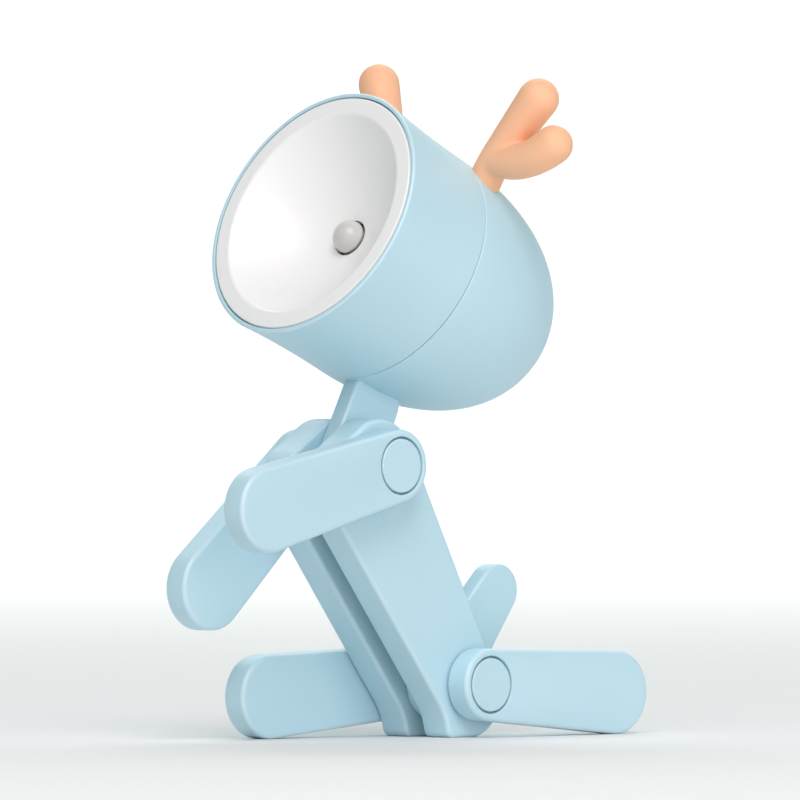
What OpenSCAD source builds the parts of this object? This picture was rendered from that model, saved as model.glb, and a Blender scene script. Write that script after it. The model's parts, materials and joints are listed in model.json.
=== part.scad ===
// Deer desk lamp: a round lamp head with two antlers on a folding body of flat plates.
// The origin is on the floor under the lower pivot, midway between the two body plates.
// The deer faces -X, its left side is -Y, and Z is up. Sizes are in millimetres.

/* [Stance] */
// Distance between the two pivot pins
pivot_span = 46.2; // [42:0.1:56]
// Forward lean of the body plates from upright, in degrees
lean = 29.8; // [20:0.1:36]
// Angle of the left front leg below level
left_front_drop = 13.5; // [0:0.5:40]
// Angle of the right front leg below level
right_front_drop = 41.5; // [0:0.5:44]
// Backward lean of the tail from upright
tail_lean = 40; // [10:1:70]
// Upward tilt of the head, which is square to the neck
head_tilt = 25.2; // [10:0.1:40]

/* [Body plates] */
// Thickness of one body plate
plate_t = 6.6; // [4.5:0.1:9]
// Gap between the plates, where the neck and the tail turn
plate_gap = 4.2; // [3.4:0.1:6]
// Radius of the lower end, which stands on the floor
plate_lower_r = 7.5; // [7.2:0.1:10]
// Distance of the lower end's centre under the lower pivot
heel = 2.2; // [0:0.1:2.6]
// Distance of the lower end's centre behind the lower pivot
heel_back = 0.4; // [0:0.1:1]
// Radius of the toe, the front corner of the lower end
toe_r = 1.6; // [1.6:0.1:3]
// Distance of the toe's centre in front of the lower pivot, which steadies the lamp
toe_forward = 4.4; // [3:0.1:5]
// Radius of the upper end, the shoulder
plate_upper_r = 8.5; // [7:0.1:10]
// Radius of the chest, in front of the shoulder
chest_r = 7.3; // [5:0.1:9]
// Distance of the chest's centre in front of the upper pivot
chest_forward = 7; // [3:0.1:10]
// Distance of the chest's centre under the upper pivot
chest_drop = 3.3; // [0:0.1:8]
// Rounding of the moulded edges of the plates and the legs
edge_r = 0.8; // [0.4:0.1:1.5]
// Rounding of the moulded edges of the neck and the tail
thin_edge_r = 0.6; // [0.3:0.1:1.2]

/* [Legs and tail] */
// Thickness of a leg
leg_t = 5.1; // [3.6:0.1:7]
// Distance from a leg's pivot to the centre of its round free end
leg_span = 33.4; // [26:0.1:36]
// Radius of a leg at its pivot
leg_pivot_r = 6.6; // [6:0.1:8]
// Radius of a leg's free end
leg_end_r = 7.7; // [5:0.1:7.8]
// Distance from the tail's pivot to the centre of its tip
tail_span = 22.2; // [14:0.1:26]
// Radius of the tail's tip
tail_tip_r = 4.8; // [3:0.1:6]
// Radius of the hub that carries the neck or the tail on its pin
hub_r = 6.5; // [5.6:0.1:8]

/* [Pivot pins] */
// Radius of a pin's shank
pin_r = 3; // [2.2:0.1:3.6]
// Radius of a pin's round head, which shows on the leg
pin_head_r = 5.1; // [4.4:0.1:5.4]
// Thickness of a pin's head
pin_head_t = 1.6; // [1:0.1:2.4]
// Radius of the stud that joins the two halves of a pin
pin_stud_r = 1.5; // [1:0.1:1.8]
// Length of the stud inside the other half
pin_stud_len = 8; // [4:0.1:9]
// Width of a friction ring's band
ring_band = 1.8; // [1:0.1:2]
// Depth of the recess that holds a friction ring in a plate
ring_recess = 0.6; // [0.4:0.1:1.2]

/* [Neck] */
// Distance from the upper pivot to the head's axis
neck_len = 37.7; // [35:0.1:46]
// Width of the neck, seen from the side
neck_w = 11.9; // [9:0.1:12.4]
// Width of the neck's tongue, which enters the rear shell
tongue_w = 8.4; // [7.6:0.1:9]
// Depth of the tongue inside the rear shell
tongue_depth = 7; // [5.5:0.1:8]
// Distance of the neck behind the seam
neck_setback = 0.45; // [0.3:0.05:2]

/* [Head shells] */
// Length of the head from the lamp's rim to the end of the dome
head_len = 58; // [54:0.1:70]
// Radius of the head at its front rim
front_r = 24.2; // [23.6:0.1:27]
// Radius of the head at the seam between the shells
seam_r = 23.2; // [22:0.1:24]
// Depth of the seam behind the rim
seam_at = 21.5; // [20.5:0.1:26]
// Roundness of the dome: 2 is an ellipse, more is squarer
dome_power = 2.2; // [2:0.05:2.6]
// Wall of the two shells
shell_wall = 1.7; // [1.3:0.1:2.2]
// Rounding of the front rim's outer edge
rim_round = 0.45; // [0.2:0.05:0.55]
// Overlap of the rear shell's spigot inside the front shell
spigot_len = 5; // [4:0.1:6]
// Thickness of the spigot
spigot_wall = 1.5; // [1.2:0.1:2]
// Turn of the head's front part, which works the switch
twist_angle = 40; // [20:1:60]

/* [Reflector and lamp] */
// Width of the rim of the front shell around the reflector
rim_w = 0.8; // [0.7:0.05:1.2]
// Width of the reflector's flat ring
ring_w = 3.15; // [2:0.05:5]
// Thickness of the reflector's flat ring
ring_t = 1.2; // [0.8:0.1:2]
// Depth of the reflector's bowl on its axis
bowl_depth = 11.1; // [9:0.1:12]
// Wall of the reflector
bowl_wall = 1.2; // [0.8:0.1:1.6]
// Radius of the lamp's domed lens
lens_r = 3.1; // [2.5:0.1:3.4]
// Gap between the lens and the hole in the reflector
lens_gap = 0.4; // [0.3:0.05:1.2]
// Radius of the lamp board
board_r = 13; // [12.4:0.1:15]
// Thickness of the lamp board
board_t = 1.2; // [0.8:0.1:1.6]
// Distance of the lamp board behind the reflector
board_gap = 1.3; // [1:0.1:2]

/* [Antlers] */
// Distance of an antler's root behind the seam
antler_setback = 3.8; // [3.6:0.1:6]
// Angle of each antler from the top of the head
antler_spread = 31.5; // [24:0.5:40]
// Turn of the pair to the left round the head
antler_roll = 5.2; // [0:0.1:8]
// Radius of an antler at its root
antler_root_r = 3.2; // [2.6:0.1:3.4]
// Radius at the fork
antler_fork_r = 3; // [2.2:0.1:3.4]
// Radius of the long tine's tip
long_tine_r = 3.85; // [2.6:0.05:4.2]
// Radius of the short tine's tip
short_tine_r = 3.9; // [2.4:0.1:4.2]
// Height of the fork over the head's surface
fork_rise = 4.2; // [3.6:0.1:7]
// Forward lean of the stem, in degrees
stem_forward = 22; // [0:1:25]
// Length of the long tine from the fork to the centre of its tip
long_tine_len = 13.9; // [9:0.1:18]
// Outward lean of the long tine from the head's upright, in degrees
long_tine_lean = 32; // [20:1:50]
// Forward lean of the long tine
long_tine_forward = 9; // [0:1:20]
// Length of the short tine's first half
short_tine_root = 9.7; // [5:0.1:12]
// Outward lean of the short tine's first half from the head's upright
short_tine_lean = 89; // [65:1:95]
// Length of the short tine's second half
short_tine_tip = 5.3; // [4:0.1:9]
// Outward lean of the short tine's second half
short_tine_curl = 42; // [35:1:80]
// Radius of the peg under an antler
antler_peg_r = 1.9; // [1.2:0.1:2]

/* [Cells and contacts] */
// Radius of a button cell
cell_r = 5.8; // [4.6:0.05:6.2]
// Thickness of a button cell
cell_t = 5.4; // [3.6:0.1:5.6]
// Number of cells in the stack
cell_count = 3; // [2:1:3]
// Wall of the cell holder
holder_wall = 1.4; // [1:0.1:1.8]
// Working height of the cell spring
spring_h = 2.8; // [2:0.1:3.6]
// Wire of the cell spring
spring_wire = 0.5; // [0.4:0.05:0.6]
// Radius of a contact pin of the switch
contact_r = 0.8; // [0.5:0.05:1]
// Distance of a contact pin from the head's axis
contact_at = 5.2; // [4.6:0.1:5.8]

/* [Screws] */
// Radius of a screw's shank
screw_r = 0.95; // [0.8:0.05:1.05]
// Radius of a screw's head
screw_head_r = 1.8; // [1.4:0.1:2]
// Height of a screw's head
screw_head_h = 1.2; // [0.8:0.1:1.6]

/* [Fits] */
// Radial clearance of a part that turns on a pin or a spigot
running = 0.06; // [0.02:0.01:0.1]
// Radial clearance of a fixed part in its hole
seat = 0.03; // [0.02:0.01:0.1]
// Side clearance of a moving plate
side_clear = 0.2; // [0.15:0.05:0.3]
// Gap that shows round a pin's head, round the reflector and at the seam
show_gap = 0.25; // [0.2:0.05:0.35]
// Gap between a friction ring or a contact and the piece that slides on it
touch_gap = 0.02; // [0.01:0.01:0.1]

/* [Hidden] */
$fn = 96;
round_fn = 32;
arc_steps = 4;
dome_steps = 22;
flare_steps = 7;
cut = 1;
blue = "#BEDDE9";
white = "#EDEDEC";
peach = "#FBBE95";

// Pivots, and the drop that sets the hind legs' free ends on the floor beside the plates
lower = [0, 0, plate_lower_r + heel];
upper = lower + pivot_span * [-sin(lean), 0, cos(lean)];
hind_drop = asin((lower[2] - leg_end_r) / leg_span);

// Free space between pieces inside the head, and at the end of a blind hole
loose = 0.6;

// Stations across the body, from the middle outwards
plate_in = plate_gap / 2;
plate_out = plate_in + plate_t;
leg_in = plate_out + side_clear;
leg_out = leg_in + leg_t;
tongue_t = plate_gap - 2 * side_clear;
head_pocket = pin_head_t + touch_gap;
ring_in_r = pin_r + 2 * running;

// Stations along the head's axis, from the front rim backwards
neck_at = seam_at + neck_setback + neck_w / 2;
antler_at = seam_at + antler_setback;
dome_len = head_len - seam_at;
head_up = [sin(head_tilt), 0, cos(head_tilt)];
head_back = [cos(head_tilt), 0, -sin(head_tilt)];
head_front = upper + neck_len * head_up - neck_at * head_back;
spigot_front = seam_at - spigot_len;
spigot_r = seam_r - shell_wall - running;
snap_h = 0.4;
snap_w = 1;
snap_lead = 1.2;
snap_at = spigot_front + snap_lead;
slot_end = snap_at + snap_w + 2 * snap_h;
ledge_at = ring_t + touch_gap;
ring_r = front_r - rim_w - show_gap;
bowl_r = ring_r - ring_w;
hole_r = lens_r + lens_gap;
hole_at = bowl_at(hole_r);
lens_lift = 0.2;
lens_at = hole_at - lens_lift;
board_at = bowl_depth + bowl_wall + board_gap;
board_back = board_at + board_t;
post_r = 2;
post_at = 10.2;
board_screw_grip = 2.4;
stop_turn = 12;
stop_at = 90;

// Stations inside the rear shell
wall_r = dome_r(neck_at);
tongue_end_r = wall_r - shell_wall - tongue_depth;
flange_at = seam_at + shell_wall;
flange_t = 1.5;
flange_r = spigot_r - spigot_wall - loose;
contact_t = 0.3;
cells_at = flange_at + flange_t + contact_t;
cells_end = cells_at + cell_count * cell_t;
holder_in_r = cell_r + side_clear;
holder_r = holder_in_r + holder_wall;
holder_end = cells_end + spring_h;
boss_r = 2.4;
boss_at = flange_r - boss_r - loose / 2;
boss_angles = [0, 115, 245];
holder_screw_grip = 5;
cheek_t = 3;
neck_screw_at = tongue_end_r + tongue_depth / 2;
neck_screw_pitch = tongue_w / 2;
neck_grip = tongue_t + 2 * cheek_t;
antler_sink = 0.35;
antler_seat_r = dome_r(antler_at) - antler_sink;
peg_len = shell_wall + loose;

function arc(c, r, a0, a1, n) =
  [for (i = [0:n]) c + r * [cos(a0 + (a1 - a0) * i / n), sin(a0 + (a1 - a0) * i / n)]];
// Radius of the head's outside at depth v: a flared barrel before the seam, a dome behind it
function flare_r(v) = seam_r + (front_r - seam_r) * pow(1 - v / seam_at, 2);
function dome_r(v) = seam_r * pow(1 - pow((v - seam_at) / dome_len, dome_power), 1 / dome_power);
// Depth of the reflector's bowl at radius r
function bowl_at(r) = bowl_depth * (1 - pow(r / bowl_r, 2));
// Half outline of a dome of base radius r and length d behind the seam, from the base to the tip
function dome_line(r, d) = [for (i = [0:dome_steps])
  let (a = 90 * i / dome_steps)
  [r * pow(max(cos(a), 0), 2 / dome_power), seam_at + d * pow(max(sin(a), 0), 2 / dome_power)]];
function reversed(list) = [for (i = [len(list) - 1:-1:0]) list[i]];

// Shared forms

// A flat round disc with edges rounded by e, its axis along Y
module puck(r, t, e) {
  h = t / 2 - e;
  rotate([90, 0, 0])
    rotate_extrude($fn = round_fn)
      polygon(concat(
        [[0, -t / 2]],
        arc([r - e, -h], e, -90, 0, arc_steps),
        arc([r - e, h], e, 0, 90, arc_steps),
        [[0, t / 2]]));
}

// A round rod along Y between y0 and y1
module rod_y(r, y0, y1) {
  translate([0, y1, 0])
    rotate([90, 0, 0])
      cylinder(r = r, h = y1 - y0);
}

// Places a flat piece on a pivot, with its length along the direction at angle b over +X
module on_pivot(p, b) {
  translate(p)
    rotate([0, -b, 0])
      children();
}

// The head's own frame: Z backwards from the rim, X up, Y to the deer's left
module in_head() {
  translate(head_front)
    rotate([0, 90 + head_tilt, 0])
      rotate([0, 0, 180])
        children();
}

// A cross-head screw along Z, its head over z = 0 and its shank below
module screw(length) {
  slot_l = 1.2 * screw_head_r;
  slot_w = screw_r / 2;
  difference() {
    union() {
      cylinder(r = screw_head_r, h = screw_head_h);
      translate([0, 0, -length])
        cylinder(r = screw_r, h = length + screw_head_h / 2);
    }
    translate([0, 0, screw_head_h])
      for (a = [0, 90])
        rotate([0, 0, a])
          cube([slot_l, slot_w, screw_head_h], center = true);
  }
}

// Body

module body_plate(side) {
  mid = side * (plate_in + plate_t / 2);
  color(blue)
    difference() {
      translate([0, mid, 0])
        union() {
          hull() {
            lower_end();
            translate(upper)
              puck(plate_upper_r, plate_t, edge_r);
            translate(upper - [chest_forward, 0, chest_drop])
              puck(chest_r, plate_t, edge_r);
          }
          hull() {
            lower_end();
            translate([-toe_forward, 0, toe_r])
              puck(toe_r, plate_t, edge_r);
          }
        }
      for (p = [lower, upper])
        translate(p + [0, mid, 0]) {
          rod_y(pin_r + seat, -plate_t, plate_t);
          for (face = [-1, 1])
            translate([0, face * plate_t / 2, 0])
              rod_y(ring_in_r + ring_band + seat, -ring_recess, ring_recess);
        }
    }
}

// The round lower end of a plate
module lower_end() {
  translate(lower + [heel_back, 0, -heel])
    puck(plate_lower_r, plate_t, edge_r);
}

// The four friction rings on one pin: two against the legs, two against the neck or the tail
module friction_rings(p) {
  leg_ring = ring_recess + side_clear - touch_gap;
  color("#D9DEE0")
    translate(p)
      for (side = [-1, 1])
        for (y = [plate_out - ring_recess, plate_in + ring_recess - leg_ring]) {
          y0 = min(side * y, side * (y + leg_ring));
          difference() {
            rod_y(ring_in_r + ring_band, y0, y0 + leg_ring);
            rod_y(ring_in_r, y0 - cut, y0 + leg_ring + cut);
          }
        }
}

// The half of a pivot pin with the socket, on the left
module pin_socket(p) {
  color(blue)
    translate(p)
      difference() {
        pin_half(-1);
        rod_y(pin_stud_r + seat, -pin_stud_len - loose, cut);
      }
}

// The half with the stud, on the right
module pin_stud(p) {
  color(blue)
    translate(p)
      union() {
        pin_half(1);
        rod_y(pin_stud_r, -pin_stud_len, cut);
      }
}

// Head and shank of one half, from the middle out to the leg's face; the head's edge is chamfered
module pin_half(side) {
  chamfer = 0.3;
  rotate([side * -90, 0, 0])
    rotate_extrude()
      polygon([
        [0, touch_gap], [pin_r, touch_gap],
        [pin_r, leg_out - pin_head_t], [pin_head_r, leg_out - pin_head_t],
        [pin_head_r, leg_out - chamfer], [pin_head_r - chamfer, leg_out],
        [0, leg_out]]);
}

// Legs and tail

module leg(side, p, b) {
  mid = side * (leg_in + leg_t / 2);
  color(blue)
    difference() {
      on_pivot(p + [0, mid, 0], b)
        hull() {
          puck(leg_pivot_r, leg_t, edge_r);
          translate([leg_span, 0, 0])
            puck(leg_end_r, leg_t, edge_r);
        }
      translate(p + [0, mid, 0]) {
        rod_y(pin_r + running, -leg_t, leg_t);
        translate([0, side * leg_t / 2, 0])
          rod_y(pin_head_r + show_gap, -head_pocket, head_pocket);
      }
    }
}

module tail() {
  color(blue)
    difference() {
      on_pivot(lower, 90 - tail_lean)
        hull() {
          puck(hub_r, tongue_t, thin_edge_r);
          translate([tail_span, 0, 0])
            puck(tail_tip_r, tongue_t, thin_edge_r);
        }
      translate(lower)
        rod_y(pin_r + running, -tongue_t, tongue_t);
    }
}

// Neck and rear part of the head

// A flat bar with its shoulders on the dome, and a narrower tongue that goes inside
module neck() {
  end = neck_len - tongue_end_r;
  color(blue)
    difference() {
      union() {
        difference() {
          on_pivot(upper, 90 - head_tilt)
            hull() {
              puck(hub_r, tongue_t, thin_edge_r);
              for (s = [-1, 1])
                translate([end - neck_w / 4, 0, s * neck_w / 4])
                  puck(neck_w / 4, tongue_t, thin_edge_r);
            }
          in_head()
            dome(-seat);
        }
        in_head()
          translate([-wall_r - cut, -tongue_t / 2, neck_at - tongue_w / 2])
            cube([wall_r + cut - tongue_end_r, tongue_t, tongue_w]);
      }
      translate(upper)
        rod_y(pin_r + running, -tongue_t, tongue_t);
      neck_screw_places()
        cylinder(r = screw_r + seat, h = plate_gap, center = true);
    }
}

// The places of the two cross screws that hold the tongue, each with Z to the deer's left
module neck_screw_places() {
  in_head()
    for (s = [-1, 1])
      translate([-neck_screw_at, 0, neck_at + s * neck_screw_pitch / 2])
        rotate([-90, 0, 0])
          children();
}

module neck_screws() {
  color("silver")
    neck_screw_places()
      translate([0, 0, neck_grip / 2])
        screw(neck_grip - loose);
}

// The dome as a solid, made smaller by inset
module dome(inset) {
  rotate_extrude()
    polygon(concat([[0, seam_at]], dome_line(seam_r - inset, dome_len - inset)));
}

// Section of the rear shell: dome wall, seam shoulder, and the spigot with its snap ridge
module rear_section() {
  face = seam_at + show_gap / 2;
  inner_r = spigot_r - spigot_wall;
  inside = [for (q = reversed(dome_line(seam_r - shell_wall, dome_len - shell_wall)))
    if (q[0] < inner_r || q[1] > face + spigot_wall) [min(q[0], seam_r - shell_wall), q[1]]];
  outside = [for (q = dome_line(seam_r, dome_len)) if (q[1] > face) q];
  polygon(concat(
    [[inner_r, spigot_front], [spigot_r, spigot_front],
     [spigot_r, snap_at], [spigot_r + snap_h, snap_at + snap_h],
     [spigot_r + snap_h, snap_at + snap_w], [spigot_r, snap_at + snap_w + snap_h],
     [spigot_r, face], [dome_r(face), face]],
    outside, inside,
    [[inner_r, face + spigot_wall]]));
}

module rear_shell() {
  boss_from = flange_at + flange_t;
  color(blue)
    difference() {
      in_head()
        difference() {
          union() {
            rotate_extrude()
              rear_section();
            intersection() {
              dome(shell_wall / 2);
              union() {
                neck_cheeks();
                for (a = boss_angles)
                  rotate([0, 0, a])
                    translate([boss_at, 0, boss_from])
                      cylinder(r = boss_r, h = head_len);
              }
            }
          }
          neck_slot();
          for (s = [-1, 1])
            antler_place(s) {
              cylinder(r = antler_peg_r + seat, h = 3 * shell_wall, center = true);
              cylinder(r = antler_root_r + seat, h = shell_wall);
            }
          for (a = boss_angles)
            rotate([0, 0, a])
              translate([boss_at, 0, boss_from - cut])
                cylinder(r = screw_r + seat, h = holder_screw_grip + loose + cut);
          stop_slot();
        }
      neck_screw_places()
        cylinder(r = screw_r + seat, h = neck_grip + cut, center = true);
    }
}

// Two cheeks inside the dome that grip the neck's tongue
module neck_cheeks() {
  w = tongue_w + 2 * shell_wall;
  for (s = [-1, 1])
    translate([-seam_r, s * (tongue_t + cheek_t) / 2 - cheek_t / 2, neck_at - w / 2])
      cube([seam_r - tongue_end_r, cheek_t, w]);
}

// Slot through the dome's wall for the tongue
module neck_slot() {
  w = tongue_w + 2 * seat;
  t = tongue_t + 2 * seat;
  translate([-neck_len, -t / 2, neck_at - w / 2])
    cube([neck_len - tongue_end_r + cut, t, w]);
}

// Gap in the spigot that the front shell's stop turns in
module stop_slot() {
  spare = 2;
  rotate([0, 0, stop_at - spare])
    rotate_extrude(angle = twist_angle + stop_turn + 2 * spare)
      translate([spigot_r - 2 * spigot_wall, spigot_front - cut])
        square([3 * spigot_wall, slot_end - spigot_front + cut]);
}

// Place of an antler's root: the middle of its seat, with Z outwards; s is 1 on the left
module antler_place(s) {
  rotate([0, 0, antler_roll + s * antler_spread])
    translate([antler_seat_r, 0, antler_at])
      rotate([0, 90, 0])
        children();
}

// An antler: a peg, a stem to the fork, a long tine and a short curled one
module antler(s) {
  root = antler_seat_r * [cos(antler_spread), s * sin(antler_spread), 0];
  stem_way = [cos(antler_spread), s * sin(antler_spread), -sin(stem_forward)];
  fork = root + (fork_rise + antler_sink) * stem_way;
  long_way = [cos(long_tine_lean), s * sin(long_tine_lean), -sin(long_tine_forward)];
  long_tip = fork + long_tine_len * long_way;
  bend = fork + short_tine_root * [cos(short_tine_lean), s * sin(short_tine_lean), 0];
  short_tip = bend + short_tine_tip * [cos(short_tine_curl), s * sin(short_tine_curl), 0];
  color(peach)
    in_head() {
      antler_place(s)
        translate([0, 0, -peg_len])
          cylinder(r = antler_peg_r, h = peg_len + cut);
      rotate([0, 0, antler_roll])
        translate([0, 0, antler_at]) {
          hull() {
            rotate([0, 0, s * antler_spread])
              translate([antler_seat_r + touch_gap, 0, 0])
                rotate([0, 90, 0])
                  cylinder(r = antler_root_r, h = antler_sink, $fn = round_fn);
            ball(fork, antler_fork_r);
          }
          tine(fork, antler_fork_r, long_tip, long_tine_r);
          tine(fork, antler_fork_r, bend, antler_fork_r);
          tine(bend, antler_fork_r, short_tip, short_tine_r);
        }
    }
}

module ball(c, r) {
  translate(c)
    sphere(r = r, $fn = round_fn - 4);
}

module tine(a, ra, b, rb) {
  hull() {
    ball(a, ra);
    ball(b, rb);
  }
}

// Cells and contacts

module cell_holder() {
  notch = neck_grip + 2 * (screw_head_h + loose);
  color(white)
    in_head()
      difference() {
        union() {
          translate([0, 0, flange_at])
            cylinder(r = flange_r, h = flange_t);
          translate([0, 0, flange_at])
            cylinder(r = holder_r, h = holder_end + holder_wall - flange_at);
        }
        translate([0, 0, flange_at + flange_t])
          cylinder(r = holder_in_r, h = holder_end - flange_at - flange_t);
        translate([-seam_r, -notch / 2, flange_at - cut])
          cube([seam_r - tongue_end_r + loose, notch, flange_t + 2 * cut]);
        for (a = boss_angles)
          rotate([0, 0, a])
            translate([boss_at, 0, flange_at - cut])
              cylinder(r = screw_r + seat, h = flange_t + 2 * cut);
        contact_places()
          translate([0, 0, flange_at - cut])
            cylinder(r = contact_r + seat, h = flange_t + 2 * cut);
      }
}

module holder_screws() {
  color("silver")
    in_head()
      for (a = boss_angles)
        rotate([0, 0, a])
          translate([boss_at, 0, flange_at])
            rotate([180, 0, 0])
              screw(flange_t + holder_screw_grip);
}

module button_cells() {
  rim = 0.6;
  bevel = 0.3;
  top = cell_t - touch_gap;
  color("gainsboro")
    in_head()
      for (i = [0:cell_count - 1])
        translate([0, 0, cells_at + i * cell_t])
          rotate_extrude()
            polygon([
              [0, 0], [cell_r - bevel, 0], [cell_r, bevel], [cell_r, cell_t - rim],
              [cell_r - rim, cell_t - rim], [cell_r - rim, top], [0, top]]);
}

// A round coil spring behind the cells: two closed turns and a cone of turns between them
module cell_spring() {
  turns = 3;
  steps = 14;
  big = 0.72 * cell_r;
  small = big / 2;
  z0 = cells_end + spring_wire / 2;
  rise = spring_h - spring_wire;
  function place(i) =
    let (f = i / (turns * steps))
    let (r = small + (big - small) * f)
    let (a = 360 * turns * f)
    [r * cos(a), r * sin(a), z0 + rise * f];
  sides = 6;
  count = turns * steps;
  points = [for (i = [0:count])
    let (c = place(i))
    let (a = 360 * i / steps)
    for (k = [0:sides - 1])
      let (b = 360 * k / sides)
      c + spring_wire / 2 * [cos(b) * cos(a), cos(b) * sin(a), sin(b)]];
  skin = [for (i = [0:count - 1])
    for (k = [0:sides - 1])
      let (n = (k + 1) % sides)
      for (t = [[i * sides + k, (i + 1) * sides + k, (i + 1) * sides + n],
                [i * sides + k, (i + 1) * sides + n, i * sides + n]]) t];
  ends = concat(
    [for (k = [1:sides - 2]) [0, k, k + 1]],
    [for (k = [1:sides - 2]) [count * sides, count * sides + k + 1, count * sides + k]]);
  color("silver")
    in_head()
      polyhedron(points, concat(skin, ends));
}

// The plate between the front cell and the holder, with the tags of the two contact pins
module cell_contact() {
  color("gold")
    in_head()
      translate([0, 0, flange_at + flange_t])
        difference() {
          cylinder(r = cell_r, h = contact_t);
          contact_places()
            cylinder(r = contact_r + seat, h = 3 * contact_t, center = true);
        }
}

module contact_places() {
  for (a = [0, 180])
    rotate([0, 0, a + 90])
      translate([contact_at, 0, 0])
        children();
}

// Two contact pins that slide on the board's track; each has a collar against the holder
module switch_contacts() {
  tip = board_back + touch_gap;
  collar = 0.6;
  collar_r = contact_r + 0.4;
  color("gold")
    in_head()
      contact_places()
        rotate_extrude()
          polygon([
            [0, tip], [contact_r / 2, tip], [contact_r, tip + contact_r / 2],
            [contact_r, flange_at - collar], [collar_r, flange_at - collar],
            [collar_r, flange_at], [contact_r, flange_at],
            [contact_r, flange_at + flange_t + contact_t], [0, flange_at + flange_t + contact_t]]);
}

// Front part of the head, which twists on the spigot

// Section of the front shell: flared barrel with a rebate for the reflector and a snap groove
module front_section() {
  face = seam_at - show_gap / 2;
  bore_r = seam_r - shell_wall;
  groove_r = bore_r + snap_h + running;
  ledge_w = 1.2;
  barrel = [for (i = [1:flare_steps])
    let (v = ring_t + (face - ring_t) * i / flare_steps)
    [flare_r(v), v]];
  polygon(concat(
    [[ring_r + show_gap, 0]],
    arc([front_r - rim_round, rim_round], rim_round, -90, 0, arc_steps),
    [[flare_r(ring_t), ring_t]],
    barrel,
    [[bore_r, face],
     [bore_r, snap_at + snap_w + snap_h + running], [groove_r, snap_at + snap_w + running],
     [groove_r, snap_at + snap_h - running], [bore_r, snap_at - running],
     [bore_r, spigot_front - ledge_w], [ring_r - ledge_w, ledge_at], [ring_r + show_gap, ledge_at]]));
}

module front_shell() {
  color(blue)
    in_head()
      union() {
        rotate_extrude()
          front_section();
        twist_stop();
      }
}

// A lug inside the barrel that meets the ends of the gap in the spigot
module twist_stop() {
  lead = 2;
  lug_out = seam_r - shell_wall / 2;
  lug_in = spigot_r - spigot_wall;
  rotate([0, 0, stop_at])
    rotate_extrude(angle = stop_turn)
      translate([lug_in, spigot_front - lead])
        square([lug_out - lug_in, slot_end - loose - spigot_front + lead]);
}

// Section of the reflector: flat ring and parabolic bowl
module reflector_section() {
  n = 14;
  lip = 0.3;
  front = [for (i = [0:n])
    let (r = hole_r + (bowl_r - lip - hole_r) * i / n)
    [r, bowl_at(r)]];
  back = [for (i = [n:-1:0])
    let (r = hole_r + (bowl_r + lip - hole_r) * i / n)
    [r, max(ring_t, bowl_at(r) + bowl_wall)]];
  polygon(concat(front, [[bowl_r, 0], [ring_r - lip, 0], [ring_r, lip], [ring_r, ring_t]], back));
}

// Everything in front of the middle of the bowl's wall
module bowl_front() {
  n = 14;
  rotate_extrude()
    polygon(concat(
      [[bowl_r, -cut], [0, -cut]],
      [for (i = [0:n]) [bowl_r * i / n, bowl_at(bowl_r * i / n) + bowl_wall / 2]]));
}

module reflector() {
  screw_hole = board_screw_grip + loose;
  color(white)
    in_head()
      difference() {
        union() {
          rotate_extrude()
            reflector_section();
          difference() {
            board_post_places()
              translate([0, 0, ring_t])
                cylinder(r = post_r, h = board_at - ring_t);
            bowl_front();
          }
        }
        board_post_places()
          translate([0, 0, board_at - screw_hole])
            cylinder(r = screw_r + seat, h = screw_hole + cut);
      }
}

module board_post_places() {
  for (a = [30, 150, 270])
    rotate([0, 0, a])
      translate([post_at, 0, 0])
        children();
}

// The lamp: a domed lens on a round foot
module lamp_lens() {
  foot_w = 0.4;
  foot_r = lens_r + foot_w;
  foot_t = 0.8;
  color("#F4F1EA")
    in_head()
      rotate_extrude()
        polygon(concat(
          [[0, board_at], [0, lens_at - lens_r]],
          arc([0, lens_at], lens_r, -90, 0, 3 * arc_steps),
          [[lens_r, board_at - foot_t], [foot_r, board_at - foot_t], [foot_r, board_at]]));
}

module lamp_board() {
  color("#3F7F5F")
    in_head()
      difference() {
        translate([0, 0, board_at])
          cylinder(r = board_r, h = board_t);
        board_post_places()
          translate([0, 0, board_at - cut])
            cylinder(r = screw_r + seat, h = board_t + 2 * cut);
      }
}

module board_screws() {
  color("silver")
    in_head()
      board_post_places()
        translate([0, 0, board_back])
          screw(board_t + board_screw_grip);
}

body_plate(-1);  // left_body_plate
body_plate(1);  // right_body_plate
pin_socket(upper);  // upper_pin_socket
pin_stud(upper);  // upper_pin_stud
pin_socket(lower);  // lower_pin_socket
pin_stud(lower);  // lower_pin_stud
friction_rings(upper);  // upper_friction_rings
friction_rings(lower);  // lower_friction_rings
leg(-1, upper, 180 + left_front_drop);  // left_front_leg
leg(1, upper, 180 + right_front_drop);  // right_front_leg
leg(-1, lower, -hind_drop);  // left_hind_leg
leg(1, lower, 180 + hind_drop);  // right_hind_leg
tail();
neck();
neck_screws();
rear_shell();
antler(1);  // left_antler
antler(-1);  // right_antler
cell_holder();
holder_screws();
button_cells();
cell_spring();
cell_contact();
switch_contacts();
front_shell();
reflector();
lamp_lens();
lamp_board();
board_screws();
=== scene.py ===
import json
import math

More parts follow.
